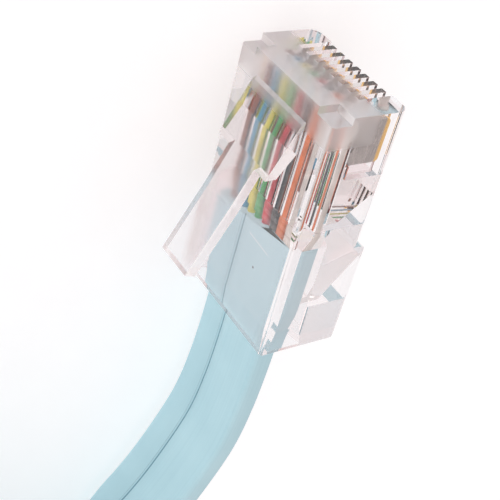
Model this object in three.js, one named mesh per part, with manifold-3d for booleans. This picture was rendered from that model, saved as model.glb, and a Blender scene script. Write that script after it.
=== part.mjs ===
// A flat eight-conductor console cable with a clear modular plug on each end, wound into a tied coil.
// Millimetres, +Z up. The near plug lies on its narrow side with its nose towards +Y, its latch
// towards -X and its contacts towards +X. The origin is under the middle of the near plug.
import * as THREE from "three";
import { mergeVertices } from "three/addons/utils/BufferGeometryUtils.js";
import Module from "manifold-3d";

const wasm = await Module();
wasm.setup();

// Driving dimensions of the plug. In the plug's own frame x runs from the latch side to the
// contact side, y from the rear face to the nose, and z from pin 8 to pin 1, about the middle.
const PLUG_WIDTH = 11.68;
const PLUG_LENGTH = 21.5;
const BODY_THICKNESS = 6.6;
const CONTACT_CORNER_RADIUS = 0.9;
const LATCH_CORNER_RADIUS = 0.25;
const BLOCK_LENGTH = 9.5;
const BLOCK_RISE = 1.0;
const BLOCK_SLOPE = 1.1;

// Contacts, the slots that hold them and the fins between the slots.
const PINS = 8;
const PIN_PITCH = 1.016;
const CONTACT_THICKNESS = 0.35;
const CONTACT_LENGTH = 3.7;
const CONTACT_NOSE_SETBACK = 1.1;
const CONTACT_SINK = 0.45;
const CONTACT_ROUND = 0.35;
const PRONG_LENGTH = 1.0;
const PRONG_DEPTH = 0.2;
const SLOT_WIDTH = 0.5;
const SLOT_LENGTH = 6.0;
const SLOT_DEPTH = 3.05;
const FIN_SINK = 0.2;

// Nose: the side walls are cut back on the latch side, and a rib of full height stays between.
const NOSE_STEP_LENGTH = 0.6;
const NOSE_STEP_DEPTH = 1.7;
const NOSE_RIB_WIDTH = 8.0;

// Flat cable, its jacket and its conductors.
const CABLE_EDGE = 0.18;
const CABLE_THICKNESS = 2.0;
const CABLE_CORNER = 0.5;
const CABLE_OFFSET = -0.92;
const JACKET_IN_PLUG = 9.4;
const WIRE_DIAMETER = 0.9;
const WIRE_GAP = 0.08;
const WIRE_OFFSET = -0.52;
const WIRE_NOSE_SETBACK = 1.0;

// Hollows inside the housing.
const CABLE_SIDE_ROOM = 0.75;
const CABLE_FACE_ROOM = 0.15;
const MOUTH_FLARE = 0.4;
const MOUTH_DEPTH = 1.8;
const CAVITY_ROOM = 0.4;
const FUNNEL_LENGTH = 1.2;
const FUNNEL_NECK = 0.3;
const CHANNEL_CLEARANCE = 0.03;
const SEAT_CLEARANCE = 0.03;

// Pockets with their pressed-in bars: the strain relief, and the bar that holds the conductors.
const RELIEF_START = 3.4;
const RELIEF_LENGTH = 4.5;
const RELIEF_WIDTH = 8.0;
const GRIP_START = 11.1;
const GRIP_LENGTH = 2.8;
const GRIP_WIDTH = 8.2;
const BAR_SLIT = 0.6;
const BAR_DEPTH = 1.3;

// Latch: a wide plate with two shoulders, and a narrower lever that rises towards the rear.
const LATCH_ROOT_SETBACK = 1.6;
const SHOULDER_SETBACK = 6.4;
const SHOULDER_RISE = 2.15;
const LEVER_BEND = 9.7;
const LEVER_BEND_RISE = 3.45;
const LEVER_END = 15.3;
const LEVER_END_RISE = 5.85;
const LATCH_THICKNESS = 0.95;
const PLATE_WIDTH = 6.4;
const LEVER_WIDTH = 3.5;
const ROOT_BURY = 0.4;
const ROOT_LENGTH = 2.2;

// Coil: the flat cable stands on its edge in two layers, held by two ties.
const TURN_GAP = 0.9;
const OUTER_TURN_RADIUS = 42.0;
const TURNS_PER_LAYER = 3.715;
const LAYER_GAP = 0.2;
const LAYERS = 2;
const TOUCH_GAP = 0.3;
const TIE_THICKNESS = 0.8;
const TIE_WIDTH = 6.0;
const TIE_BEARINGS = [70, 235];
const TIE_BOW_ROOM = 0.2;
const TAIL_LENGTH = 30.0;

// The near lead's centre line on the floor plan, from the plug's rear to the coil.
const LEAD_POINTS = [
  [1.505, -10.75],
  [1.5, -14.0],
  [1.34, -18.07],
  [1.18, -20.09],
  [0.95, -22.15],
  [0.56, -24.24],
  [-0.07, -26.32],
  [-0.82, -28.36],
  [-1.63, -30.39],
  [-2.55, -32.43],
  [-3.63, -34.49],
  [-4.84, -36.5],
  [-8.33, -43.5],
  [-11.59, -50.86],
  [-15.37, -59.02],
  [-20.83, -70.82],
];

// Worked out from the sizes above.
const WIRE_PITCH_IN_JACKET = WIRE_DIAMETER + WIRE_GAP;
const CABLE_WIDTH = PINS * WIRE_PITCH_IN_JACKET + 2 * CABLE_EDGE;
const CAVITY_END = JACKET_IN_PLUG + CAVITY_ROOM;
const FUNNEL_END = CAVITY_END + FUNNEL_LENGTH;
const TURN_PITCH = CABLE_THICKNESS + TURN_GAP;
const HALF_WIDTH = PLUG_WIDTH / 2;
const LATCH_FACE = -BODY_THICKNESS / 2;
const CONTACT_FACE = BODY_THICKNESS / 2;
const BLOCK_FACE = CONTACT_FACE + BLOCK_RISE;
const LEVER_REACH = LATCH_FACE - LEVER_END_RISE;
const CHANNEL_RADIUS = WIRE_DIAMETER / 2 + CHANNEL_CLEARANCE;
const CAVITY_LATCH = CABLE_OFFSET - CABLE_THICKNESS / 2 - CABLE_FACE_ROOM;
const CAVITY_CONTACT = CABLE_OFFSET + CABLE_THICKNESS / 2 + CABLE_FACE_ROOM;
const CAVITY_HALF_WIDTH = CABLE_WIDTH / 2 + CABLE_SIDE_ROOM;
const PAST = 1.0;
const NEAR_PLUG_X = -(LEVER_REACH + BLOCK_FACE) / 2;
const NEAR_PLUG_Y = -PLUG_LENGTH / 2;
const COIL_BOTTOM = TIE_THICKNESS + TOUCH_GAP;
const LAYER_HEIGHT = CABLE_WIDTH + LAYER_GAP;
const COIL_HEIGHT = LAYERS * CABLE_WIDTH + (LAYERS - 1) * LAYER_GAP;
const LOW_LAYER = COIL_BOTTOM + CABLE_WIDTH / 2;
const HIGH_LAYER = LOW_LAYER + LAYER_HEIGHT;
const COIL_OUTER = OUTER_TURN_RADIUS + CABLE_THICKNESS / 2;
const COIL_INNER = OUTER_TURN_RADIUS - TURNS_PER_LAYER * TURN_PITCH - CABLE_THICKNESS / 2;

const COLOURS = {
  housing: 0xe9e6e6,
  contact: 0xc9a646,
  jacket: 0xb2d6e0,
  tie: 0x2b2d30,
};
const WIRE_COLOURS = [
  ["white", 0xcfc9c2],
  ["orange", 0xdf7d4b],
  ["black", 0x45454c],
  ["red", 0xc8465a],
  ["green", 0x3daa6e],
  ["yellow", 0xd2d052],
  ["blue", 0x5aaac8],
  ["brown", 0xaa6e5a],
];

const materials = {
  housing: new THREE.MeshStandardMaterial({
    color: COLOURS.housing,
    roughness: 0.06,
    transparent: true,
    opacity: 0.3,
  }),
  contact: new THREE.MeshStandardMaterial({
    color: COLOURS.contact,
    roughness: 0.25,
    metalness: 1,
  }),
  jacket: new THREE.MeshStandardMaterial({ color: COLOURS.jacket, roughness: 0.45 }),
  tie: new THREE.MeshStandardMaterial({ color: COLOURS.tie, roughness: 0.6 }),
};
for (const [name, color] of WIRE_COLOURS)
  materials[name] = new THREE.MeshStandardMaterial({ color, roughness: 0.4 });

// A closed geometry as a solid that can be cut and joined.
function solidOf(geometry) {
  const bare = geometry.clone();
  bare.deleteAttribute("normal");
  bare.deleteAttribute("uv");
  const merged = mergeVertices(bare, 1e-4);
  return new wasm.Manifold(
    new wasm.Mesh({
      numProp: 3,
      vertProperties: merged.attributes.position.array,
      triVerts: new Uint32Array(merged.index.array),
    }),
  );
}

function geometryOf(solid) {
  const { vertProperties, triVerts } = solid.getMesh();
  const geometry = new THREE.BufferGeometry();
  geometry.setAttribute("position", new THREE.BufferAttribute(vertProperties, 3));
  geometry.setIndex(new THREE.BufferAttribute(triVerts, 1));
  const flat = geometry.toNonIndexed();
  flat.computeVertexNormals();
  return flat;
}

// Turns a shape drawn in the plane across an axis into that plane: the shape's own two
// directions follow the axis in the order x, y, z, so that nothing is mirrored.
const AXIS_BASES = {
  x: new THREE.Matrix4().set(0, 0, 1, 0, 1, 0, 0, 0, 0, 1, 0, 0, 0, 0, 0, 1),
  y: new THREE.Matrix4().set(0, 1, 0, 0, 0, 0, 1, 0, 1, 0, 0, 0, 0, 0, 0, 1),
  z: new THREE.Matrix4(),
};

// A shape carried straight along an axis, from one place on it to another.
function prism(shape, axis, from, to, curveSegments = 4) {
  const geometry = new THREE.ExtrudeGeometry(shape, {
    depth: to - from,
    bevelEnabled: false,
    curveSegments,
  });
  geometry.translate(0, 0, from);
  geometry.applyMatrix4(AXIS_BASES[axis]);
  return solidOf(geometry);
}

function polygon(points) {
  return new THREE.Shape(points.map(([a, b]) => new THREE.Vector2(a, b)));
}

// A rectangle whose low-b and high-b corners have their own radii.
function roundedRectangle(a0, a1, b0, b1, lowRadius, highRadius) {
  const shape = new THREE.Shape();
  shape.moveTo(a0 + lowRadius, b0);
  shape.lineTo(a1 - lowRadius, b0);
  shape.absarc(a1 - lowRadius, b0 + lowRadius, lowRadius, -Math.PI / 2, 0, false);
  shape.lineTo(a1, b1 - highRadius);
  shape.absarc(a1 - highRadius, b1 - highRadius, highRadius, 0, Math.PI / 2, false);
  shape.lineTo(a0 + highRadius, b1);
  shape.absarc(a0 + highRadius, b1 - highRadius, highRadius, Math.PI / 2, Math.PI, false);
  shape.lineTo(a0, b0 + lowRadius);
  shape.absarc(a0 + lowRadius, b0 + lowRadius, lowRadius, Math.PI, 1.5 * Math.PI, false);
  return shape;
}

function box(x0, x1, y0, y1, z0, z1) {
  const geometry = new THREE.BoxGeometry(x1 - x0, y1 - y0, z1 - z0);
  geometry.translate((x0 + x1) / 2, (y0 + y1) / 2, (z0 + z1) / 2);
  return solidOf(geometry);
}

function pinHeight(pin) {
  return ((PINS + 1) / 2 - pin) * PIN_PITCH;
}

// The housing's outside: a thin body with rounded contact-side edges, and a thicker rear block.
function housingOutside() {
  const section = (face) =>
    roundedRectangle(
      -HALF_WIDTH,
      HALF_WIDTH,
      LATCH_FACE,
      face,
      LATCH_CORNER_RADIUS,
      CONTACT_CORNER_RADIUS,
    );
  const body = prism(section(CONTACT_FACE), "y", 0, PLUG_LENGTH);
  const block = prism(section(BLOCK_FACE), "y", 0, BLOCK_LENGTH);
  const slope = polygon([
    [LATCH_FACE - PAST, -PAST],
    [BLOCK_FACE + PAST, -PAST],
    [BLOCK_FACE + PAST, BLOCK_LENGTH - BLOCK_SLOPE],
    [BLOCK_FACE, BLOCK_LENGTH - BLOCK_SLOPE],
    [CONTACT_FACE + BLOCK_RISE / 2, BLOCK_LENGTH - BLOCK_SLOPE / 4],
    [CONTACT_FACE, BLOCK_LENGTH],
    [LATCH_FACE - PAST, BLOCK_LENGTH],
  ]);
  return body.add(block.intersect(prism(slope, "z", -HALF_WIDTH, HALF_WIDTH)));
}

// The latch grows out of the latch face near the nose and is moulded in one with the housing.
function latch() {
  const root = PLUG_LENGTH - LATCH_ROOT_SETBACK;
  const shoulder = PLUG_LENGTH - SHOULDER_SETBACK;
  const bend = PLUG_LENGTH - LEVER_BEND;
  const end = PLUG_LENGTH - LEVER_END;
  const plate = polygon([
    [LATCH_FACE + ROOT_BURY, root],
    [LATCH_FACE - 0.15 * SHOULDER_RISE, root - ROOT_BURY],
    [LATCH_FACE - SHOULDER_RISE, shoulder],
    [LATCH_FACE - SHOULDER_RISE + LATCH_THICKNESS, shoulder],
    [LATCH_FACE + ROOT_BURY, root - ROOT_LENGTH],
  ]);
  const lever = polygon([
    [LATCH_FACE - SHOULDER_RISE, shoulder],
    [LATCH_FACE - LEVER_BEND_RISE, bend],
    [LATCH_FACE - LEVER_END_RISE, end],
    [LATCH_FACE - LEVER_END_RISE + LATCH_THICKNESS, end - 0.3 * LATCH_THICKNESS],
    [LATCH_FACE - LEVER_BEND_RISE + LATCH_THICKNESS, bend - 0.4 * LATCH_THICKNESS],
    [LATCH_FACE - SHOULDER_RISE + LATCH_THICKNESS, shoulder],
    [LATCH_FACE - SHOULDER_RISE + LATCH_THICKNESS, shoulder + PAST],
    [LATCH_FACE - SHOULDER_RISE + LATCH_THICKNESS / 2, shoulder + PAST],
  ]);
  return prism(plate, "z", -PLATE_WIDTH / 2, PLATE_WIDTH / 2).add(
    prism(lever, "z", -LEVER_WIDTH / 2, LEVER_WIDTH / 2),
  );
}

// What is cut away at the nose: the step of each side wall, and the sunk tops of the fins.
function noseCuts() {
  const stepStart = PLUG_LENGTH - NOSE_STEP_LENGTH;
  const cuts = [-1, 1].map((side) => {
    const inner = (side * NOSE_RIB_WIDTH) / 2;
    const outer = side * (HALF_WIDTH + PAST);
    return box(
      LATCH_FACE - PAST,
      LATCH_FACE + NOSE_STEP_DEPTH,
      stepStart,
      PLUG_LENGTH + PAST,
      Math.min(inner, outer),
      Math.max(inner, outer),
    );
  });
  const fins = ((PINS - 1) * PIN_PITCH + SLOT_WIDTH) / 2;
  cuts.push(
    box(
      CONTACT_FACE - FIN_SINK,
      CONTACT_FACE + PAST,
      PLUG_LENGTH - SLOT_LENGTH,
      PLUG_LENGTH + PAST,
      -fins,
      fins,
    ),
  );
  return cuts;
}

// The mouth, the room for the jacket and the funnel that leads to the channels.
function cableCavity() {
  const side = polygon([
    [CAVITY_LATCH - MOUTH_FLARE, -PAST],
    [CAVITY_CONTACT + MOUTH_FLARE, -PAST],
    [CAVITY_CONTACT + MOUTH_FLARE, 0],
    [CAVITY_CONTACT, MOUTH_DEPTH],
    [CAVITY_CONTACT, CAVITY_END],
    [WIRE_OFFSET + CHANNEL_RADIUS, FUNNEL_END - FUNNEL_NECK],
    [WIRE_OFFSET + CHANNEL_RADIUS, FUNNEL_END],
    [WIRE_OFFSET - CHANNEL_RADIUS, FUNNEL_END],
    [WIRE_OFFSET - CHANNEL_RADIUS, FUNNEL_END - FUNNEL_NECK],
    [CAVITY_LATCH, CAVITY_END],
    [CAVITY_LATCH, MOUTH_DEPTH],
    [CAVITY_LATCH - MOUTH_FLARE, 0],
  ]);
  const channelsHalf = ((PINS - 1) * PIN_PITCH) / 2 + CHANNEL_RADIUS;
  const plan = polygon([
    [-PAST, -CAVITY_HALF_WIDTH - MOUTH_FLARE],
    [0, -CAVITY_HALF_WIDTH - MOUTH_FLARE],
    [MOUTH_DEPTH, -CAVITY_HALF_WIDTH],
    [CAVITY_END, -CAVITY_HALF_WIDTH],
    [FUNNEL_END - FUNNEL_NECK, -channelsHalf],
    [FUNNEL_END + PAST, -channelsHalf],
    [FUNNEL_END + PAST, channelsHalf],
    [FUNNEL_END - FUNNEL_NECK, channelsHalf],
    [CAVITY_END, CAVITY_HALF_WIDTH],
    [MOUTH_DEPTH, CAVITY_HALF_WIDTH],
    [0, CAVITY_HALF_WIDTH + MOUTH_FLARE],
    [-PAST, CAVITY_HALF_WIDTH + MOUTH_FLARE],
  ]);
  return prism(side, "z", -HALF_WIDTH, HALF_WIDTH).intersect(
    prism(plan, "x", LATCH_FACE, CONTACT_FACE),
  );
}

// A pocket in the contact side: the bar left under its slope has been pressed in from above.
function barPocket(start, length, width, floor, face) {
  const side = polygon([
    [face + PAST, start],
    [floor, start],
    [floor, start + BAR_SLIT],
    [floor + BAR_DEPTH, start + BAR_SLIT],
    [face, start + length],
    [face + PAST, start + length],
  ]);
  return prism(side, "z", -width / 2, width / 2);
}

// Each conductor has its channel, and each contact its slot with a slit down to the conductor.
function pinCuts() {
  const cuts = [];
  for (let pin = 1; pin <= PINS; pin += 1) {
    const z = pinHeight(pin);
    const channelEnd = PLUG_LENGTH - WIRE_NOSE_SETBACK + CHANNEL_CLEARANCE;
    const channel = new THREE.CylinderGeometry(
      CHANNEL_RADIUS,
      CHANNEL_RADIUS,
      channelEnd - FUNNEL_END + FUNNEL_NECK,
      12,
    );
    channel.translate(WIRE_OFFSET, (channelEnd + FUNNEL_END - FUNNEL_NECK) / 2, z);
    cuts.push(solidOf(channel));
    cuts.push(
      box(
        CONTACT_FACE - SLOT_DEPTH,
        CONTACT_FACE + PAST,
        PLUG_LENGTH - SLOT_LENGTH,
        PLUG_LENGTH + PAST,
        z - SLOT_WIDTH / 2,
        z + SLOT_WIDTH / 2,
      ),
    );
    const nose = PLUG_LENGTH - CONTACT_NOSE_SETBACK;
    cuts.push(
      box(
        WIRE_OFFSET,
        CONTACT_FACE,
        nose - CONTACT_LENGTH - SEAT_CLEARANCE,
        nose + SEAT_CLEARANCE,
        z - CONTACT_THICKNESS / 2 - SEAT_CLEARANCE,
        z + CONTACT_THICKNESS / 2 + SEAT_CLEARANCE,
      ),
    );
  }
  return cuts;
}

function plugHousing() {
  const cuts = [
    ...noseCuts(),
    cableCavity(),
    barPocket(RELIEF_START, RELIEF_LENGTH, RELIEF_WIDTH, CAVITY_CONTACT - SEAT_CLEARANCE, BLOCK_FACE),
    barPocket(GRIP_START, GRIP_LENGTH, GRIP_WIDTH, WIRE_OFFSET, CONTACT_FACE),
    ...pinCuts(),
  ];
  let housing = housingOutside().add(latch());
  for (const cut of cuts) housing = housing.subtract(cut);
  return housing;
}

// A contact: a plate with a rounded outer edge and two prongs that pierce the conductor.
function contactOutline() {
  const nose = PLUG_LENGTH - CONTACT_NOSE_SETBACK;
  const rear = nose - CONTACT_LENGTH;
  const outer = CONTACT_FACE - CONTACT_SINK;
  const root = WIRE_OFFSET + CHANNEL_RADIUS + PRONG_DEPTH;
  const tip = WIRE_OFFSET - PRONG_DEPTH;
  const half = PRONG_LENGTH / 2;
  const shape = new THREE.Shape();
  shape.moveTo(root, rear);
  shape.lineTo(outer - CONTACT_ROUND, rear);
  shape.absarc(outer - CONTACT_ROUND, rear + CONTACT_ROUND, CONTACT_ROUND, -Math.PI / 2, 0, false);
  shape.lineTo(outer, nose - CONTACT_ROUND);
  shape.absarc(outer - CONTACT_ROUND, nose - CONTACT_ROUND, CONTACT_ROUND, 0, Math.PI / 2, false);
  shape.lineTo(root, nose);
  for (const middle of [nose - half - PRONG_DEPTH, rear + half + PRONG_DEPTH]) {
    shape.lineTo(root, middle + half);
    shape.lineTo(tip, middle);
    shape.lineTo(root, middle - half);
  }
  return shape;
}

function contactSolid(pin) {
  const z = pinHeight(pin);
  return prism(
    contactOutline(),
    "z",
    z - CONTACT_THICKNESS / 2,
    z + CONTACT_THICKNESS / 2,
    3,
  );
}

// A curve whose cross-sections stay upright, for a flat cable that stands on its edge.
class UprightCurve extends THREE.CatmullRomCurve3 {
  constructor(points) {
    super(points, false, "centripetal");
  }

  computeFrenetFrames(segments) {
    const up = new THREE.Vector3(0, 0, 1);
    const frames = { tangents: [], normals: [], binormals: [] };
    for (let i = 0; i <= segments; i += 1) {
      const tangent = this.getTangentAt(i / segments);
      const binormal = new THREE.Vector3().crossVectors(tangent, up).normalize();
      frames.tangents.push(tangent);
      frames.binormals.push(binormal);
      frames.normals.push(new THREE.Vector3().crossVectors(binormal, tangent));
    }
    return frames;
  }
}

function tubeAlong(shape, points, steps) {
  const geometry = new THREE.ExtrudeGeometry(shape, {
    steps,
    curveSegments: 1,
    extrudePath: new UprightCurve(points),
  });
  return solidOf(geometry);
}

// A conductor: it leaves the jacket close to its neighbours and spreads to the contacts' pitch.
function wireSolid(position) {
  const spread = (PINS + 1) / 2 - position;
  const close = spread * WIRE_PITCH_IN_JACKET;
  const apart = spread * PIN_PITCH;
  const start = JACKET_IN_PLUG + TOUCH_GAP;
  const end = PLUG_LENGTH - WIRE_NOSE_SETBACK;
  const places = [
    [CABLE_OFFSET, start, close],
    [CABLE_OFFSET, start + TOUCH_GAP, close],
    [WIRE_OFFSET, FUNNEL_END - FUNNEL_NECK, apart],
    [WIRE_OFFSET, FUNNEL_END - FUNNEL_NECK / 2, apart],
    [WIRE_OFFSET, FUNNEL_END, apart],
    [WIRE_OFFSET, end, apart],
  ];
  const points = places.map(([x, y, z]) => new THREE.Vector3(x, y, z));
  const circle = new THREE.Shape();
  circle.absarc(0, 0, WIRE_DIAMETER / 2, 0, 2 * Math.PI, false);
  const geometry = new THREE.ExtrudeGeometry(circle, {
    steps: 9,
    curveSegments: 4,
    extrudePath: new UprightCurve(points),
  });
  const nose = PLUG_LENGTH - CONTACT_NOSE_SETBACK;
  const cut = box(
    WIRE_OFFSET - PRONG_DEPTH - SEAT_CLEARANCE,
    CONTACT_FACE,
    nose - CONTACT_LENGTH,
    nose,
    apart - CONTACT_THICKNESS / 2 - SEAT_CLEARANCE,
    apart + CONTACT_THICKNESS / 2 + SEAT_CLEARANCE,
  );
  return solidOf(geometry).subtract(cut);
}

function cableSection() {
  return roundedRectangle(
    -CABLE_WIDTH / 2,
    CABLE_WIDTH / 2,
    -CABLE_THICKNESS / 2,
    CABLE_THICKNESS / 2,
    CABLE_CORNER,
    CABLE_CORNER,
  );
}

const group = new THREE.Group();

function addMesh(parent, name, solid, material) {
  const mesh = new THREE.Mesh(geometryOf(solid), material);
  mesh.name = name;
  parent.add(mesh);
}

// One plug with its contacts and conductors. Pin 1's conductor is at the top in the near plug;
// the far plug is turned over, so its pins meet the same conductors in the opposite order.
function addPlug(prefix, x, y, turned) {
  const plug = new THREE.Group();
  plug.position.set(x, y, HALF_WIDTH);
  plug.rotation.y = turned ? Math.PI : 0;
  addMesh(plug, `${prefix}plug_housing`, plugHousing(), materials.housing);
  for (let pin = 1; pin <= PINS; pin += 1)
    addMesh(plug, `${prefix}contact_${pin}`, contactSolid(pin), materials.contact);
  WIRE_COLOURS.forEach(([colour], i) => {
    const position = turned ? PINS - i : i + 1;
    addMesh(plug, `${prefix}wire_${colour}`, wireSolid(position), materials[colour]);
  });
  group.add(plug);
}

// The coil's centre lies a turn's radius to the right of the lead's last point.
const [leadX, leadY] = LEAD_POINTS.at(-1);
const [beforeX, beforeY] = LEAD_POINTS.at(-2);
const leadStep = Math.hypot(leadX - beforeX, leadY - beforeY);
const heading = [(leadX - beforeX) / leadStep, (leadY - beforeY) / leadStep];
const coilX = leadX + heading[1] * OUTER_TURN_RADIUS;
const coilY = leadY - heading[0] * OUTER_TURN_RADIUS;

function coilRing(outer, inner, bottom, top) {
  const profile = [
    [inner, bottom],
    [outer, bottom],
    [outer, top],
    [inner, top],
    [inner, bottom],
  ].map(([r, z]) => new THREE.Vector2(r, z));
  const geometry = new THREE.LatheGeometry(profile, 64);
  geometry.rotateX(Math.PI / 2);
  geometry.translate(coilX, coilY, 0);
  return solidOf(geometry);
}

// The near lead runs from inside the plug to the coil's lower layer, and is cut where it joins it.
function leadSolid() {
  const drop = HALF_WIDTH - LOW_LAYER;
  const last = LEAD_POINTS.length - 1;
  const points = LEAD_POINTS.map(
    ([x, y], i) => new THREE.Vector3(x, y, HALF_WIDTH - drop * Math.min(1, (i / last) ** 2 * 1.5)),
  );
  points.unshift(new THREE.Vector3(points[0].x, NEAR_PLUG_Y + JACKET_IN_PLUG, HALF_WIDTH));
  const room = coilRing(COIL_OUTER + TOUCH_GAP, PAST, -PAST, COIL_BOTTOM + COIL_HEIGHT + PAST);
  return tubeAlong(cableSection(), points, 40).subtract(room);
}

const tailX = coilX - OUTER_TURN_RADIUS;
const farPlugX = tailX + CABLE_OFFSET;
const farPlugY = coilY + TAIL_LENGTH;

// The tail leaves the coil's upper layer and comes down to the far plug.
function tailSolid() {
  const inside = farPlugY + JACKET_IN_PLUG;
  const run = farPlugY - coilY;
  const points = [
    [coilY, HIGH_LAYER],
    [coilY + 0.2 * run, HIGH_LAYER - 0.1 * (HIGH_LAYER - HALF_WIDTH)],
    [coilY + 0.45 * run, (HIGH_LAYER + HALF_WIDTH) / 2],
    [coilY + 0.7 * run, HALF_WIDTH + 0.1 * (HIGH_LAYER - HALF_WIDTH)],
    [coilY + 0.9 * run, HALF_WIDTH],
    [inside, HALF_WIDTH],
  ].map(([y, z]) => new THREE.Vector3(tailX, y, z));
  const room = coilRing(COIL_OUTER + TOUCH_GAP, PAST, -PAST, COIL_BOTTOM + COIL_HEIGHT + PAST);
  return tubeAlong(cableSection(), points, 20).subtract(room);
}

// A tie: a flat band wrapped round the coil's section.
function addTie(name, bearing) {
  const reach = COIL_OUTER + TOUCH_GAP + TIE_BOW_ROOM;
  const bore = COIL_INNER - TOUCH_GAP - TIE_BOW_ROOM;
  const low = COIL_BOTTOM - TOUCH_GAP;
  const high = COIL_BOTTOM + COIL_HEIGHT + TOUCH_GAP;
  const outside = roundedRectangle(
    bore - TIE_THICKNESS,
    reach + TIE_THICKNESS,
    low - TIE_THICKNESS,
    high + TIE_THICKNESS,
    TIE_THICKNESS,
    TIE_THICKNESS,
  );
  const inside = polygon([
    [bore, low],
    [bore, high],
    [reach, high],
    [reach, low],
  ]);
  outside.holes.push(inside);
  const geometry = new THREE.ExtrudeGeometry(outside, {
    depth: TIE_WIDTH,
    bevelEnabled: false,
    curveSegments: 3,
  });
  geometry.translate(0, 0, -TIE_WIDTH / 2);
  geometry.rotateX(Math.PI / 2);
  const tie = new THREE.Group();
  tie.position.set(coilX, coilY, 0);
  tie.rotation.z = THREE.MathUtils.degToRad(bearing);
  addMesh(tie, name, solidOf(geometry), materials.tie);
  group.add(tie);
}

addPlug("", NEAR_PLUG_X, NEAR_PLUG_Y, false);
addPlug("far_", farPlugX, farPlugY, true);
addMesh(group, "cable_lead", leadSolid(), materials.jacket);
addMesh(
  group,
  "cable_coil",
  coilRing(COIL_OUTER, COIL_INNER, COIL_BOTTOM, COIL_BOTTOM + COIL_HEIGHT),
  materials.jacket,
);
addMesh(group, "cable_tail", tailSolid(), materials.jacket);
TIE_BEARINGS.forEach((bearing, i) => addTie(`coil_tie_${i + 1}`, bearing));

export default group;
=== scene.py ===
# %% [markdown]
# A flat console cable with a clear modular plug
#
# The object is a flat eight-conductor cable with a clear plastic plug on each end. One plug lies
# in front of the camera, and the rest of the cable is wound into a tied coil out of its view.
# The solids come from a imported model, which is loaded first. Everything made here is in metres
# and in the same frame, so a piece goes where that model says.

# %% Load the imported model
import math

import bmesh
import bpy
import numpy as np
from mathutils import Matrix, Vector


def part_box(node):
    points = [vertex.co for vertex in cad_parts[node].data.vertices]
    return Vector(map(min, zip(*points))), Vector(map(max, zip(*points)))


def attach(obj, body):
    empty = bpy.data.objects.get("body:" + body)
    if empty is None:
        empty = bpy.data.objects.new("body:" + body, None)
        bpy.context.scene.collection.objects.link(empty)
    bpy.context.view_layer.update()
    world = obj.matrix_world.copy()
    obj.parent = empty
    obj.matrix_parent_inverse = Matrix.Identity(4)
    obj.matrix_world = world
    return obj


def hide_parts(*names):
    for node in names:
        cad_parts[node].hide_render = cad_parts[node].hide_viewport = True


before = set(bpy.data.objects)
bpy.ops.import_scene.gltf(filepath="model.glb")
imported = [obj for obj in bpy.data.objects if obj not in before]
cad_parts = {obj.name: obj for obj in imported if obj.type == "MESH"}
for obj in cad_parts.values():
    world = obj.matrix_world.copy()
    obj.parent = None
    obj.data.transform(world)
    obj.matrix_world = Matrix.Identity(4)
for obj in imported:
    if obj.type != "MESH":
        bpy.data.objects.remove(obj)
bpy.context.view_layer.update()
MM = 0.001

# %% [markdown]
# The camera stands where the photograph was taken: above the latch side, beyond the nose, and
# turned so that the plug's nose points up and to the right. Its place was found by matching the
# plug's corners. A long lens keeps the plug's edges nearly parallel.

# %% Set the camera
CAMERA_PLACE = (-45.947 * MM, 45.692 * MM, 57.536 * MM)
CAMERA_TURN = (-45.314, -31.167, 15.265)
FOCAL_PIXELS = 1102.8
FRAME_PIXELS = 500

lens = bpy.data.cameras.new("view")
lens.sensor_width = 36.0
lens.lens = FOCAL_PIXELS / FRAME_PIXELS * lens.sensor_width
lens.clip_start = 1 * MM
lens.clip_end = 10.0
camera = bpy.data.objects.new("camera", lens)
camera.location = CAMERA_PLACE
camera.rotation_euler = [math.radians(a) for a in CAMERA_TURN]
bpy.context.scene.collection.objects.link(camera)
bpy.context.scene.camera = camera
print("field of view", round(math.degrees(lens.angle), 2), "degrees")

# %% [markdown]
# Every size below is a real one, in millimetres. The plug's own frame is easiest to think in: x
# runs from the latch side to the contact side, y from the rear face to the nose, and z from pin
# 8 up to pin 1. Two matrices take that frame to the two plugs. The near one lies on its narrow
# side, and the far one is turned over, so its pins meet the conductors in the opposite order.

# %% Where the two plugs are
PINS = 8
PIN_PITCH = 1.016
PLUG_LENGTH = 21.5
BLOCK_FACE = 4.3
CABLE_OFFSET = -0.92
WIRE_OFFSET = -0.52
JACKET_IN_PLUG = 9.4


def plug_matrix(node, turned):
    """The matrix from a plug's own frame, in millimetres, to the model's frame, in metres."""
    low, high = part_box(node)
    half = (high.z - low.z) / 2
    x = low.x + BLOCK_FACE * MM if turned else high.x - BLOCK_FACE * MM
    turn = Matrix.Rotation(math.pi if turned else 0.0, 4, "Y")
    return Matrix.Translation((x, low.y, half)) @ turn @ Matrix.Scale(MM, 4)


NEAR = plug_matrix("plug_housing", False)
FAR = plug_matrix("far_plug_housing", True)
HALF_WIDTH = NEAR.translation.z
print("near plug at", [round(v / MM, 2) for v in NEAR.translation])

# %% [markdown]
# The cable is one fixed length of flat cord, about 1.8 m, so its route is settled before its
# looks. It leaves the near plug straight, bends away, and lies down into a coil that stands on
# its edge: inwards in a lower layer, up, and outwards again in an upper layer, to the far plug.
# A smooth curve through chosen points makes the lead, and a formula makes the coil's turns.

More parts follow.
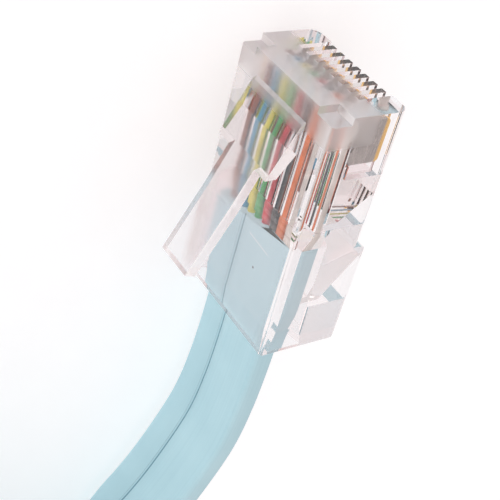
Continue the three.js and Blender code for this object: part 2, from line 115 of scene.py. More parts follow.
# %% The cable's route
CABLE_WIDTH = 8.2
CABLE_THICKNESS = 2.0
TURN_PITCH = 2.9
OUTER_TURN_RADIUS = 42.0
TURNS_PER_LAYER = 3.715
COIL_BOTTOM = 1.1
LAYER_HEIGHT = 8.4
TAIL_LENGTH = 30.0
STEPS_PER_TURN = 120
LEAD_POINTS = [
    (1.505, -10.75),
    (1.5, -14.0),
    (1.34, -18.07),
    (1.18, -20.09),
    (0.95, -22.15),
    (0.56, -24.24),
    (-0.07, -26.32),
    (-0.82, -28.36),
    (-1.63, -30.39),
    (-2.55, -32.43),
    (-3.63, -34.49),
    (-4.84, -36.5),
    (-8.33, -43.5),
    (-11.59, -50.86),
    (-15.37, -59.02),
    (-20.83, -70.82),
]
LOW_LAYER = COIL_BOTTOM + CABLE_WIDTH / 2
HIGH_LAYER = LOW_LAYER + LAYER_HEIGHT
PLUG_HEIGHT = HALF_WIDTH / MM


def smooth_through(points, per_span):
    """A centripetal Catmull-Rom curve: each span is blended from its four nearest points."""
    p = np.asarray(points, float)
    p = np.vstack([2 * p[0] - p[1], p, 2 * p[-1] - p[-2]])
    knots = np.concatenate([[0.0], np.cumsum(np.sqrt(np.linalg.norm(np.diff(p, axis=0), axis=1)))])
    span = np.repeat(np.arange(1, len(p) - 2), per_span)
    share = np.tile(np.arange(per_span) / per_span, len(p) - 3)
    t = (knots[span] + share * (knots[span + 1] - knots[span]))[:, None]

    def blend(a, b, ka, kb):
        return ((kb - t) * a + (t - ka) * b) / (kb - ka)

    k = [knots[span + i][:, None] for i in (-1, 0, 1, 2)]
    q = [p[span + i] for i in (-1, 0, 1, 2)]
    first = [blend(q[i], q[i + 1], k[i], k[i + 1]) for i in range(3)]
    second = [blend(first[i], first[i + 1], k[i], k[i + 2]) for i in range(2)]
    return np.vstack([blend(second[0], second[1], k[1], k[2]), p[-2]])


def ease(share):
    """Goes from 0 to 1 with a level start and end."""
    share = np.clip(share, 0.0, 1.0)
    return share * share * (3.0 - 2.0 * share)


# %% Lead, coil and tail as one line
last = len(LEAD_POINTS) - 1
drop = PLUG_HEIGHT - LOW_LAYER
lead = [
    (x, y, PLUG_HEIGHT - drop * min(1.0, 1.5 * (i / last) ** 2))
    for i, (x, y) in enumerate(LEAD_POINTS)
]
rear_y = NEAR.translation.y / MM
inside = [(LEAD_POINTS[0][0], rear_y + JACKET_IN_PLUG * share, PLUG_HEIGHT) for share in (1.0, 0.5)]
lead_line = smooth_through(inside + lead, 12)

heading = np.subtract(LEAD_POINTS[-1], LEAD_POINTS[-2])
heading = heading / np.linalg.norm(heading)
coil_centre = np.array(LEAD_POINTS[-1]) + OUTER_TURN_RADIUS * np.array([heading[1], -heading[0]])
offset = np.array(LEAD_POINTS[-1]) - coil_centre
first_bearing = math.atan2(offset[1], offset[0])
turns = np.arange(1, int(2 * TURNS_PER_LAYER * STEPS_PER_TURN)) / STEPS_PER_TURN
inwards = TURNS_PER_LAYER - np.abs(turns - TURNS_PER_LAYER)
radius = OUTER_TURN_RADIUS - TURN_PITCH * inwards
bearing = first_bearing - 2 * math.pi * turns
RISE_TURNS = 0.3
height = LOW_LAYER + LAYER_HEIGHT * ease((turns - TURNS_PER_LAYER) / RISE_TURNS + 0.5)
coil_line = np.column_stack(
    [coil_centre[0] + radius * np.cos(bearing), coil_centre[1] + radius * np.sin(bearing), height]
)

tail_x = coil_centre[0] - OUTER_TURN_RADIUS
run = TAIL_LENGTH
fall = HIGH_LAYER - PLUG_HEIGHT
tail = [
    (tail_x, coil_centre[1] + run * share, HIGH_LAYER - fall * fallen)
    for share, fallen in ((0.0, 0.0), (0.2, 0.1), (0.45, 0.5), (0.7, 0.9), (0.9, 1.0))
]
tail.append((tail_x, coil_centre[1] + run + JACKET_IN_PLUG, PLUG_HEIGHT))
tail_line = smooth_through(tail, 12)
cable_line = np.vstack([lead_line[:-1], coil_line, tail_line]) * MM
steps = np.linalg.norm(np.diff(cable_line, axis=0), axis=1)
CABLE_RUN = float(steps.sum()) - 2 * JACKET_IN_PLUG * MM
print("cable points", len(cable_line), "length between plugs in m", round(CABLE_RUN, 3))

# %% [markdown]
# A cable, a conductor and a strap are all the same kind of surface: a flat outline carried along
# a line. At each point of the line the outline is set across it, with one direction level and
# the other upright. Ring i, place j of the grid is line[i] + a[j] * side[i] + b[j] * rise[i].

# %% Carry an outline along a line
def directions(line):
    """Unit vectors along a line, level across it, and upright across it, from central differences."""
    along = np.gradient(line, axis=0)
    along /= np.linalg.norm(along, axis=1, keepdims=True)
    side = np.cross(along, (0.0, 0.0, 1.0))
    side /= np.linalg.norm(side, axis=1, keepdims=True)
    return along, side, np.cross(side, along)


def new_piece(name, points, faces, uvs=None, smooth=True):
    """Puts points and faces into a mesh object, with the faces turned outwards and closed."""
    mesh = bpy.data.meshes.new(name)
    mesh.from_pydata(np.asarray(points, float).tolist(), [], faces)
    if uvs is not None:
        layer = mesh.uv_layers.new(name="along")
        corner = np.zeros(len(mesh.loops), int)
        mesh.loops.foreach_get("vertex_index", corner)
        layer.data.foreach_set("uv", np.asarray(uvs, float)[corner].ravel())
    mesh.polygons.foreach_set("use_smooth", [smooth] * len(mesh.polygons))
    work = bmesh.new()
    work.from_mesh(mesh)
    bmesh.ops.recalc_face_normals(work, faces=work.faces)
    work.to_mesh(mesh)
    work.free()
    piece = bpy.data.objects.new(name, mesh)
    bpy.context.scene.collection.objects.link(piece)
    return piece


def grid_faces(rings, places):
    """The quads of a tube whose rings are joined in order, and a flat face at each end."""
    i, j = np.meshgrid(np.arange(rings - 1), np.arange(places), indexing="ij")
    k = (j + 1) % places
    quads = np.stack([i * places + j, i * places + k, (i + 1) * places + k, (i + 1) * places + j], axis=-1)
    ends = [list(range(places))[::-1], list(range((rings - 1) * places, rings * places))]
    return quads.reshape(-1, 4).tolist() + ends


def swept(name, line, outline, stretch, slide):
    """A closed surface: the outline (a, b) carried along the line. Each ring is stretched in a
    and b by its own two numbers, and each of its places is slid along the line."""
    along, side, rise = directions(line)
    a, b = np.asarray(outline, float).T
    across = (stretch[:, 0, None] * a)[:, :, None] * side[:, None, :]
    upright = (stretch[:, 1, None] * b)[:, :, None] * rise[:, None, :]
    grid = line[:, None, :] + across + upright + slide[:, :, None] * along[:, None, :]
    travelled = np.concatenate([[0.0], np.cumsum(np.linalg.norm(np.diff(line, axis=0), axis=1))])
    around = np.concatenate([[0.0], np.cumsum(np.linalg.norm(np.diff(outline, axis=0), axis=1))])
    uvs = np.stack(np.broadcast_arrays(travelled[:, None], around[None, :]), axis=-1)
    faces = grid_faces(len(line), len(a))
    return new_piece(name, grid.reshape(-1, 3), faces, uvs.reshape(-1, 2))


# %% [markdown]
# The jacket is a flat band of soft plastic with rounded edges. Each broad face is dead flat, and
# the face on the latch side has one fine groove along it, off its middle, where the jacket can
# be torn open. The outline is four straight sides and four arcs, with the groove set in.

# %% The jacket's outline
CABLE_CORNER = 0.5
GROOVE_PLACE = -1.1
GROOVE_WIDTH = 0.32
GROOVE_DEPTH = 0.17
CORNER_STEPS = 6


def corner_arc(centre_a, centre_b, radius, start):
    """A quarter circle about a centre, from an angle of start quarter turns."""
    angle = (start + np.linspace(0.0, 1.0, CORNER_STEPS + 1)) * math.pi / 2
    return np.column_stack([centre_a + radius * np.cos(angle), centre_b + radius * np.sin(angle)])


def jacket_outline():
    """Goes round the section from the groove in the latch-side face, in millimetres."""
    a = CABLE_THICKNESS / 2
    b = CABLE_WIDTH / 2
    r = CABLE_CORNER
    half = GROOVE_WIDTH / 2
    groove = [
        (a, GROOVE_PLACE - half),
        (a - 0.6 * GROOVE_DEPTH, GROOVE_PLACE - 0.4 * half),
        (a - GROOVE_DEPTH, GROOVE_PLACE),
        (a - 0.6 * GROOVE_DEPTH, GROOVE_PLACE + 0.4 * half),
        (a, GROOVE_PLACE + half),
    ]
    corners = [
        corner_arc(a - r, b - r, r, 0),
        corner_arc(r - a, b - r, r, 1),
        corner_arc(r - a, r - b, r, 2),
        corner_arc(a - r, r - b, r, 3),
    ]
    faces = np.linspace(-1.0, 1.0, 9)[1:-1]
    back = np.column_stack([np.full(len(faces), -a), -faces * (b - r)])
    front = np.column_stack([np.full(4, a), np.linspace(GROOVE_PLACE + half, b - r, 6)[1:-1]])
    return np.vstack([groove, front, corners[0], corners[1], back, corners[2], corners[3]])


# %% [markdown]
# The jacket was cut back by hand before the plug went on, so its end isn't square: it slants,
# and it has a small step where the cutter slipped. The first rings slide along the cable to
# make that end, and the slide fades out a few millimetres further on. Inside each plug the
# strain relief's bar presses the jacket, which makes it thinner and wider there.

# %% The cable
CUT_EDGE = [(-4.1, -1.35), (-3.3, -1.25), (-1.05, -0.95), (1.35, -0.45)]
CUT_EDGE += [(1.6, 0.05), (2.0, 0.1), (4.1, 0.0)]
CUT_FADE = 3.0
PRESSED = (0.9, 1.13)
PRESS_FADE = 3.5

outline = jacket_outline()
travelled = np.concatenate([[0.0], np.cumsum(steps)]) / MM
fade = 1.0 - ease(travelled / CUT_FADE)
cut = np.interp(outline[:, 1], *np.transpose(CUT_EDGE))
slide = -fade[:, None] * cut[None, :] * MM
from_end = np.minimum(travelled, travelled[-1] - travelled)
press = 1.0 - ease((from_end - JACKET_IN_PLUG + PRESS_FADE) / PRESS_FADE)
stretch = 1.0 + press[:, None] * (np.array(PRESSED) - 1.0)
cable = swept("cable", cable_line, outline * MM, stretch, slide)
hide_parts("cable_lead", "cable_coil", "cable_tail")
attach(cable, "root")
print("cable faces", len(cable.data.polygons))

# %% [markdown]
# A finish is a small network of shader nodes. It reads best as arithmetic, so a class wraps one
# socket: adding, multiplying or subtracting signals adds the Math nodes, and one method adds
# any other node, its settings first and then the values or links of its sockets.

# %% Shader maths
class Signal:
    """One socket of a node tree, with Python's operators for its Math nodes."""

    def __init__(self, tree, socket=None):
        self.tree = tree
        self.socket = socket

    def node(self, kind, settings=None, sockets=None, output=0):
        """Adds a node, sets it up, fills its sockets by name or number, and gives one output."""
        made = self.tree.nodes.new("ShaderNode" + kind)
        for name, value in (settings or {}).items():
            setattr(made, name, value)
        for name, value in (sockets or {}).items():
            if isinstance(value, Signal):
                self.tree.links.new(value.socket, made.inputs[name])
            else:
                made.inputs[name].default_value = value
        return Signal(self.tree, made.outputs[output]) if made.outputs else None

    def maths(self, operation, *values):
        return self.node("Math", {"operation": operation}, dict(enumerate(values)))

    def __add__(self, other):
        return self.maths("ADD", self, other)

    __radd__ = __add__

    def __sub__(self, other):
        return self.maths("SUBTRACT", self, other)

    def __rsub__(self, other):
        return self.maths("SUBTRACT", other, self)

    def __mul__(self, other):
        return self.maths("MULTIPLY", self, other)

    __rmul__ = __mul__

    def ramp(self, low, high, to_low=0.0, to_high=1.0):
        """Smoothly maps low..high to to_low..to_high, and holds the ends outside it."""
        sockets = {"Value": self, 1: low, 2: high, 3: to_low, 4: to_high}
        return self.node("MapRange", {"interpolation_type": "SMOOTHSTEP"}, sockets)

    def tint(self, low_colour, high_colour):
        """A colour between two, by this signal's share."""
        settings = {"data_type": "RGBA", "clamp_factor": True}
        return self.node("Mix", settings, {0: self, 6: low_colour, 7: high_colour}, output=2)


def linear(red, green, blue):
    """A colour given as it shows on a screen, 0 to 255, in the light-linear values of a shader."""
    share = np.array([red, green, blue]) / 255.0
    values = np.where(share <= 0.04045, share / 12.92, ((share + 0.055) / 1.055) ** 2.4)
    return (*[float(v) for v in values], 1.0)


def new_finish(name):
    """An empty material and a starting signal in its node tree."""
    material = bpy.data.materials.new(name)
    material.use_nodes = True
    material.node_tree.nodes.clear()
    return material, Signal(material.node_tree)


def finish_with(material, start, shader):
    start.node("OutputMaterial", None, {"Surface": shader})
    return material


def set_finish(piece, *materials):
    piece.data.materials.clear()
    for material in materials:
        piece.data.materials.append(material)

# %% [markdown]
# The plug is moulded in clear polycarbonate, which bends light more than acrylic does. Real
# refraction shows the conductors through the plastic as the photograph does. A ray that only
# asks whether a light is hidden goes straight through, or the inside would be black and noisy.
# Fine marks from handling break up the gloss a little. The nose is matt near the latch's root,
# where the tool has a fine texture, and the lever is slightly hazy. Without a limit on how often
# a ray bends, thin edges would come out black, so after a few bends it goes straight on. Each vertex
# of a housing holds its place in the plug's frame.

# %% Clear plastic
PLASTIC_IOR = 1.585
NOSE_FROST = 18.6
LEVER_TOP = -3.35
MOST_BENDS = 3.5

clear_plastic, start = new_finish("clear_plastic")
place = start.node("TexCoord", output="Object")
in_plug = start.node("Attribute", {"attribute_name": "plug_place"}, output="Vector")
plug_x = start.node("SeparateXYZ", None, {0: in_plug}, output="X")
plug_y = start.node("SeparateXYZ", None, {0: in_plug}, output="Y")
nose = plug_y.ramp(NOSE_FROST, NOSE_FROST + 0.8) * (1.0 - plug_x.ramp(0.4, 1.4))
lever = 1.0 - plug_x.ramp(LEVER_TOP - 0.2, LEVER_TOP)
scuffs = start.node("TexNoise", None, {"Vector": place, "Scale": 420.0, "Detail": 5.0, "Roughness": 0.6})
smudges = start.node("TexNoise", None, {"Vector": place, "Scale": 90.0, "Detail": 2.0})
marks = smudges + 0.35 * scuffs
ripple = start.node("Bump", None, {"Strength": 0.06, "Distance": 0.00008, "Height": marks})
plastic = start.node(
    "BsdfPrincipled",
    None,
    {
        "Base Color": smudges.tint(linear(255, 252, 251), linear(252, 250, 252)),
        "Roughness": scuffs.ramp(0.55, 0.75, 0.015, 0.06) + 0.45 * nose + 0.13 * lever,
        "IOR": PLASTIC_IOR,
        "Transmission Weight": 1.0,
        "Normal": ripple,
    },
    output="BSDF",
)
shadow_ray = start.node("LightPath", output="Is Shadow Ray")
diffuse_ray = start.node("LightPath", output="Is Diffuse Ray")
through = start.node("BsdfTransparent", None, {"Color": linear(251, 247, 247)})
passed = shadow_ray.maths("MAXIMUM", shadow_ray, diffuse_ray)
depth = start.node("LightPath", output="Ray Depth")
passed = passed.maths("MAXIMUM", passed, depth.maths("GREATER_THAN", depth, MOST_BENDS))
finish_with(clear_plastic, start, start.node("MixShader", None, {0: passed, 1: plastic, 2: through}))

# %% [markdown]
# The contacts are stamped from phosphor bronze and plated with nickel. Only the outer edge,
# where the socket's springs press, is gold. Each vertex of a piece holds its place in the
# plug's own frame, so one finish finds that edge on both plugs.

# %% Plated contacts
GOLD_FROM = 2.4
GOLD_FULL = 2.55

plating, start = new_finish("plated_contact")
place = start.node("Attribute", {"attribute_name": "plug_place"}, output="Vector")
outwards = start.node("SeparateXYZ", None, {0: place}, output="X")
gilded = outwards.ramp(GOLD_FROM, GOLD_FULL)
stretched = start.node("Mapping", None, {"Vector": place, "Scale": (9.0, 0.9, 0.9)})
shear = start.node("TexNoise", None, {"Vector": stretched, "Scale": 1.0, "Detail": 3.0})
nickel = shear.ramp(0.3, 0.7).tint(linear(188, 182, 176), linear(160, 154, 150))
metal = start.node(
    "BsdfPrincipled",
    None,
    {
        "Base Color": gilded.tint(nickel, linear(242, 196, 104)),
        "Metallic": 1.0,
        "Roughness": shear.ramp(0.3, 0.7, 0.24, 0.38),
        "Normal": start.node("Bump", None, {"Strength": 0.2, "Distance": 0.00003, "Height": shear}),
    },
)
finish_with(plating, start, metal)

# %% [markdown]
# Each conductor has coloured insulation. The colour varies slightly along the wire, and a piece's
# own core attribute paints the middle of the cut end darker, as painted shade where the strands are drawn
# back a little.

# %% Conductors' insulation
WIRE_COLOURS = {
    "white": (222, 218, 210),
    "orange": (233, 120, 50),
    "black": (24, 22, 26),
    "red": (205, 40, 58),
    "green": (48, 168, 84),
    "yellow": (226, 220, 80),
    "blue": (70, 160, 200),
    "brown": (140, 74, 48),
}


def insulation(name, colour):
    material, start = new_finish("insulation_" + name)
    place = start.node("TexCoord", output="Object")
    core = start.node("Attribute", {"attribute_name": "core"}, output="Fac")
    clouds = start.node("TexNoise", None, {"Vector": place, "Scale": 700.0, "Detail": 3.0})
    dark = [0.86 * c for c in colour]
    skin = clouds.ramp(0.3, 0.7).tint(linear(*colour), linear(*dark))
    settings = {"data_type": "RGBA"}
    # Painted shade: the core rings take a darker copy of the insulation colour.
    body = start.node("Mix", settings, {0: core, 6: skin, 7: linear(*[0.7 * c for c in colour])}, output=2)
    return finish_with(
        material,
        start,
        start.node(
            "BsdfPrincipled",
            None,
            {
                "Base Color": body,
                "Roughness": clouds.ramp(0.3, 0.7, 0.32, 0.42),
                "Normal": start.node(
                    "Bump", None, {"Strength": 0.15, "Distance": 0.00004, "Height": clouds}
                ),
            },
        ),
    )


insulations = {name: insulation(name, colour) for name, colour in WIRE_COLOURS.items()}

# %% [markdown]
# The jacket is soft vinyl in a pale blue. Seen close, it isn't one colour: it is drawn through a
# die, which leaves faint streaks along it, and handling leaves a few hairline marks and specks.
# The streaks follow the cable, so they read the piece's own map, whose first number is the
# distance along it and whose second is the distance round it, both in metres. Inside the near
# plug there is one short pale scratch across the jacket and one dark speck, placed in mm.
# The groove is painted darker than the face round it, as painted shade in the crease.

# %% Jacket vinyl
groove_middle = float(np.linalg.norm(np.diff(outline[:3], axis=0), axis=1).sum()) * MM
SCRATCH_START = (-3.23, 5.58)
SCRATCH_END = (-3.46, 8.56)
SPECK = (-5.56, 7.20)

jacket, start = new_finish("jacket_vinyl")
place = start.node("TexCoord", output="Object")
along = start.node("UVMap", {"uv_map": "along"})
drawn = start.node("Mapping", None, {"Vector": along, "Scale": (60.0, 4200.0, 1.0)})
streaks = start.node("TexNoise", None, {"Vector": drawn, "Scale": 1.0, "Detail": 3.0, "Roughness": 0.55})
clouds = start.node("TexNoise", None, {"Vector": place, "Scale": 160.0, "Detail": 3.0})
grain = start.node("TexNoise", None, {"Vector": place, "Scale": 2600.0, "Detail": 3.0})
tone = clouds.ramp(0.3, 0.7) * 0.6 + streaks.ramp(0.35, 0.65) * 0.4
height = start.node("SeparateXYZ", None, {0: place}, output="Z") * 1000.0
back = start.node("SeparateXYZ", None, {0: place}, output="Y") * 1000.0
slope = (SCRATCH_END[0] - SCRATCH_START[0]) / (SCRATCH_END[1] - SCRATCH_START[1])
off_line = back - SCRATCH_START[0] - slope * (height - SCRATCH_START[1])
scratch = 1.0 - off_line.maths("ABSOLUTE", off_line).ramp(0.02, 0.08)
scratch = scratch * height.ramp(SCRATCH_START[1], SCRATCH_START[1] + 0.3)
scratch = scratch * (1.0 - height.ramp(SCRATCH_END[1] - 0.3, SCRATCH_END[1]))
skin = tone.tint(linear(190, 223, 231), linear(180, 215, 224))
round_it = start.node("SeparateXYZ", None, {0: along}, output="Y") - groove_middle
# Painted shade: a thin darker band along the bottom of the groove.
groove_painted_shade = 1.0 - round_it.maths("ABSOLUTE", round_it).ramp(0.00005, 0.00014)
skin = groove_painted_shade.tint(skin, linear(128, 166, 180))
speck_back, speck_height = back - SPECK[0], height - SPECK[1]
speck = 1.0 - (speck_back * speck_back + speck_height * speck_height).ramp(0.004, 0.016)
vinyl = start.node(
    "BsdfPrincipled",
    None,
    {
        "Base Color": speck.tint(scratch.tint(skin, linear(222, 238, 242)), linear(58, 70, 78)),
        "Roughness": 0.4 + 0.12 * (clouds * 0.5 + streaks * 0.5),
        "Normal": start.node(
            "Bump", None, {"Strength": 0.25, "Distance": 0.00003, "Height": streaks * 0.7 + grain * 0.3}
        ),
    },
)
finish_with(jacket, start, vinyl)
set_finish(cable, jacket)

# %% [markdown]
# The conductors leave the jacket side by side and spread to the contacts' pitch. Between the
# jacket and the channels they are loose, so each one wanders a little. A conductor is a circle
# carried along its line, and its last rings step in to the core at the cut end.

# %% Conductors
WIRE_DIAMETER = 0.9
WIRE_PITCH_IN_JACKET = 0.98
WIRE_NOSE_SETBACK = 1.0
WIRE_START = 7.0
FUNNEL_END = 11.0
SPREAD_START = 8.8
CORE_SHARE = 0.25
WIRE_SIDES = 20
LOOSE_RINGS = 34
CHANNEL_RINGS = (16.0, 18.5)
CORE_STANDS_OUT = 0.12


def wire_line(spread, wander):
    """From inside the jacket to the nose: the gap between neighbours widens smoothly."""
    end = PLUG_LENGTH - WIRE_NOSE_SETBACK
    loose_run = np.linspace(WIRE_START, FUNNEL_END + 0.6, LOOSE_RINGS)
    y = np.concatenate([loose_run, CHANNEL_RINGS, [end - 0.05, end, end, end + CORE_STANDS_OUT]])
    opened = ease((y - SPREAD_START) / (FUNNEL_END - SPREAD_START))
    z = spread * (WIRE_PITCH_IN_JACKET + (PIN_PITCH - WIRE_PITCH_IN_JACKET) * opened)
    x = CABLE_OFFSET + (WIRE_OFFSET - CABLE_OFFSET) * opened
    loose = np.sin(math.pi * np.clip((y - SPREAD_START) / (FUNNEL_END - SPREAD_START), 0.0, 1.0)) ** 2
    return np.column_stack([x + wander[0] * loose, y, z + wander[1] * loose])


def make_wire(name, node, matrix, spread, wander, finish):
    line = wire_line(spread, wander)
    rings = len(line)
    size = np.ones(rings)
    size[-4:] = [1.0, 0.93, CORE_SHARE, CORE_SHARE]
    angle = np.linspace(0.0, 2 * math.pi, WIRE_SIDES, endpoint=False)
    direction = np.gradient(line[:-3], axis=0)
    direction = np.vstack([direction, np.tile((0.0, 1.0, 0.0), (3, 1))])
    direction /= np.linalg.norm(direction, axis=1, keepdims=True)
    across = np.cross((1.0, 0.0, 0.0), direction)
    other = np.cross(direction, across)
    r = size[:, None, None] * WIRE_DIAMETER / 2
    cosine, sine = np.cos(angle)[None, :, None], np.sin(angle)[None, :, None]
    ring = cosine * across[:, None, :] + sine * other[:, None, :]
    points = (line[:, None, :] + r * ring).reshape(-1, 3)
    piece = new_piece(name, points, grid_faces(rings, WIRE_SIDES))
    core = np.repeat((np.arange(rings) >= rings - 2).astype(np.float32), WIRE_SIDES)
    piece.data.attributes.new("core", "FLOAT", "POINT").data.foreach_set("value", core)
    piece.data.transform(matrix)
    set_finish(piece, finish)
    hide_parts(node)
    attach(piece, "root")
    return piece


wanders = np.random.default_rng(8).uniform(-1.0, 1.0, (2, PINS, 2)) * (0.22, 0.03)
for end, (prefix, matrix) in enumerate((("", NEAR), ("far_", FAR))):
    for i, name in enumerate(WIRE_COLOURS):
        spread = (PINS - 1) / 2 - i
        spread = -spread if end else spread
        names = (f"{prefix}conductor_{name}", f"{prefix}wire_{name}")
        make_wire(*names, matrix, spread, wanders[end, i], insulations[name])
print("conductors made:", 2 * PINS)

# %% [markdown]
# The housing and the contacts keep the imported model's shape, but no moulded or stamped edge is
# perfectly sharp. A copy of each solid has its loose triangles merged and its flat faces made
# whole, and a small bevel then rounds the edges, which is where clear plastic catches the light.

# %% Housings and contacts
HOUSING_EDGE = 0.1
CONTACT_EDGE = 0.05


def softened(name, node, matrix, edge, finish, slot):
    """A copy of a solid, merged, with its sharp edges rounded by a bevel of two steps."""
    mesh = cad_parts[node].data.copy()
    work = bmesh.new()
    work.from_mesh(mesh)
    bmesh.ops.remove_doubles(work, verts=work.verts, dist=0.002 * MM)
    bmesh.ops.dissolve_limit(work, angle_limit=math.radians(1.0), verts=work.verts, edges=work.edges)
    for face in work.faces:
        face.smooth = False
    work.to_mesh(mesh)
    work.free()
    corners = np.zeros(3 * len(mesh.vertices), np.float32)
    mesh.vertices.foreach_get("co", corners)
    back = np.array(matrix.inverted())
    places = corners.reshape(-1, 3) @ back[:3, :3].T + back[:3, 3]
    layer = mesh.attributes.new("plug_place", "FLOAT_VECTOR", "POINT")
    layer.data.foreach_set("vector", places.astype(np.float32).ravel())
    piece = bpy.data.objects.new(name, mesh)
    bpy.context.scene.collection.objects.link(piece)
    bevel = piece.modifiers.new("edges", "BEVEL")
    bevel.width = edge * MM
    bevel.segments = 2
    bevel.limit_method = "ANGLE"
    bevel.angle_limit = math.radians(35.0)
    set_finish(piece, finish)
    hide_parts(node)
    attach(piece, "root")
    return piece


for prefix, matrix in (("", NEAR), ("far_", FAR)):
    names = (f"{prefix}clear_housing", f"{prefix}plug_housing")
    softened(*names, matrix, HOUSING_EDGE, clear_plastic, "housing")
    for pin in range(1, PINS + 1):
        names = (f"{prefix}blade_{pin}", f"{prefix}contact_{pin}")
        softened(*names, matrix, CONTACT_EDGE, plating, "contact")

# %% [markdown]
# Two hook-and-loop straps hold the coil. Each one starts on top of the coil, goes round its
# section, and ends on top of its own start. A strap is a thin rounded band carried round the
# section, and its last rings narrow to the rounded end.

# %% Straps
STRAP_THICKNESS = 0.5
STRAP_WIDTH = 6.0
STRAP_CORNER = 0.8
STRAP_BEARINGS = (70, 235)
STRAP_SPREAD = 6.0
STRAP_GAP = 0.05
STRAP_START = 0.7
STRAP_END = 8.8
STRAP_BOTTOM = 0.26
STRAP_TOP = 17.98
STRAP_LAP = 0.55
STRAP_TIP = [(0.0, 0.4), (0.15, 0.62), (0.5, 0.84), (1.1, 0.96), (1.8, 1.0)]

strap_finish, start = new_finish("strap_loops")
place = start.node("TexCoord", output="Object")
loops = start.node("TexNoise", None, {"Vector": place, "Scale": 3200.0, "Detail": 2.0})
wear = start.node("TexNoise", None, {"Vector": place, "Scale": 240.0, "Detail": 3.0})
fabric = start.node(
    "BsdfPrincipled",
    None,
    {
        "Base Color": wear.ramp(0.3, 0.7).tint(linear(44, 44, 47), linear(58, 58, 60)),
        "Roughness": 0.85,
        "Sheen Weight": 0.3,
        "Normal": start.node("Bump", None, {"Strength": 0.8, "Distance": 0.00015, "Height": loops}),
    },
)
finish_with(strap_finish, start, fabric)


def strap_line(bearing):
    """Round the coil's section at a bearing, as distance from the coil's centre and height, in mm."""
    from_centre = cable_line[:, :2] / MM - coil_centre
    distance = np.linalg.norm(from_centre, axis=1)
    turned = np.degrees(np.arctan2(from_centre[:, 1], from_centre[:, 0])) - bearing
    beside = np.abs((turned + 180.0) % 360.0 - 180.0) < STRAP_SPREAD
    held = distance[beside & (distance < OUTER_TURN_RADIUS + STRAP_GAP)]
    room = CABLE_THICKNESS / 2 + STRAP_GAP + STRAP_THICKNESS / 2 - STRAP_CORNER
    near, far = held.min() - room, held.max() + room
    low, high = STRAP_BOTTOM + STRAP_CORNER, STRAP_TOP - STRAP_CORNER
    line = [(near + STRAP_START, STRAP_TOP)]
    for r, z, first in ((far, high, 90), (far, low, 0), (near, low, -90), (near, high + STRAP_LAP, -180)):
        for turned in np.radians(np.linspace(first, first - 90, 7)):
            line.append((r + STRAP_CORNER * math.cos(turned), z + STRAP_CORNER * math.sin(turned)))
    line += [(near + STRAP_END - back, STRAP_TOP + STRAP_LAP) for back, _ in reversed(STRAP_TIP)]
    return np.array(line)


def make_strap(name, node, bearing):
    line = strap_line(bearing)
    size = np.ones(len(line))
    size[-len(STRAP_TIP):] = [share for _, share in reversed(STRAP_TIP)]
    angle = math.radians(bearing)
    outwards = np.array((math.cos(angle), math.sin(angle), 0.0))
    across = np.array((-math.sin(angle), math.cos(angle), 0.0))
    up = np.array((0.0, 0.0, 1.0))
    centre = np.array((coil_centre[0], coil_centre[1], 0.0))
    along = np.gradient(line, axis=0)
    along /= np.linalg.norm(along, axis=1, keepdims=True)
    normal = np.column_stack([along[:, 1], -along[:, 0]])
    half, thick, round_off = STRAP_WIDTH / 2, STRAP_THICKNESS / 2, 0.12
    edge = [(-half, thick - round_off), (-half + round_off, thick), (half - round_off, thick)]
    edge.append((half, thick - round_off))
    outline = np.array(edge + [(-w, -t) for w, t in edge])
    flat = line[:, None, :] + normal[:, None, :] * outline[None, :, 1, None]
    width = size[:, None] * outline[None, :, 0]
    points = centre + flat[:, :, :1] * outwards + flat[:, :, 1:] * up + width[:, :, None] * across
    piece = new_piece(name, points.reshape(-1, 3) * MM, grid_faces(len(line), len(outline)), smooth=False)
    set_finish(piece, strap_finish)
    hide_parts(node)
    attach(piece, "root")
    return name


straps = [
    make_strap(f"coil_strap_{i + 1}", f"coil_tie_{i + 1}", bearing)
    for i, bearing in enumerate(STRAP_BEARINGS)
]

# %% [markdown]
# The cable is the part's one cord. It leaves the near plug's rear face, and the straps are
# shaped round its coil.

# %% [markdown]
# The floor is a plain pale sheet, a hair below the plug so that the two don't share a plane. It
# glows faintly, as a lit white sweep behind a product does. There are no lamps: the light is a
# pale dome, with a wide bright patch low on the latch side and a weaker one beyond the nose.

# %% Floor
FLOOR_SIZE = 6.0
FLOOR_DROP = 0.03

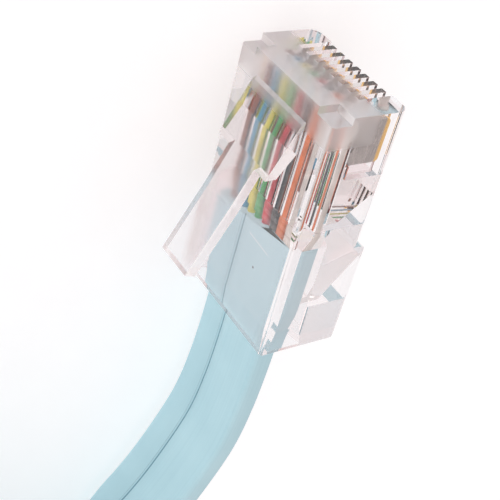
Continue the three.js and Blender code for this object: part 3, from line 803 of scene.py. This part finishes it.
floor_finish, start = new_finish("floor_paper")
place = start.node("TexCoord", output="Object")
fibres = start.node("TexNoise", None, {"Vector": place, "Scale": 300.0, "Detail": 3.0})
paper = start.node(
    "BsdfPrincipled",
    None,
    {
        "Base Color": fibres.tint(linear(238, 238, 238), linear(243, 243, 243)),
        "Roughness": 0.9,
        "Emission Color": (1.0, 1.0, 1.0, 1.0),
        "Emission Strength": 0.3,
        "Specular IOR Level": 0.0,
    },
)
finish_with(floor_finish, start, paper)
half = FLOOR_SIZE / 2
corners = [(-half, -half, -FLOOR_DROP * MM), (half, -half, -FLOOR_DROP * MM)]
corners += [(half, half, -FLOOR_DROP * MM), (-half, half, -FLOOR_DROP * MM)]
floor_mesh = bpy.data.meshes.new("floor")
floor_mesh.from_pydata(corners, [], [(0, 1, 2, 3)])
floor = bpy.data.objects.new("floor", floor_mesh)
bpy.context.scene.collection.objects.link(floor)
set_finish(floor, floor_finish)

# %% Light
KEY_DIRECTION = (-0.90, 0.15, 0.30)
KEY_STRENGTH = 0.5
FILL_DIRECTION = (-0.25, 0.80, 0.55)
FILL_STRENGTH = 0.12
DOME_STRENGTH = 0.86


def glow(sky, direction, towards, edge):
    """A soft bright patch of the dome: the direction's share along the patch's middle, eased in."""
    middle = Vector(towards).normalized()
    settings = {"operation": "DOT_PRODUCT"}
    nearness = sky.node("VectorMath", settings, {0: direction, 1: middle}, output="Value")
    return nearness.ramp(edge, 1.0)


world = bpy.data.worlds.new("dome")
world.use_nodes = True
world.node_tree.nodes.clear()
sky = Signal(world.node_tree)
direction = sky.node("TexCoord", output="Generated")
key = glow(sky, direction, KEY_DIRECTION, 0.25)
fill = glow(sky, direction, FILL_DIRECTION, 0.35)
up = sky.node("SeparateXYZ", None, {0: direction}, output="Z")
shade = up.ramp(0.0, 1.0).tint(linear(250, 246, 245), linear(236, 231, 232))
strength = DOME_STRENGTH + KEY_STRENGTH * key + FILL_STRENGTH * fill
dome = sky.node("Background", None, {"Color": shade, "Strength": strength})
sky.node("OutputWorld", None, {"Surface": dome})
bpy.context.scene.world = world
bpy.context.scene.view_settings.view_transform = "Standard"
bpy.context.scene.cycles.max_bounces = 24
bpy.context.scene.cycles.transmission_bounces = 24
bpy.context.scene.cycles.transparent_max_bounces = 32
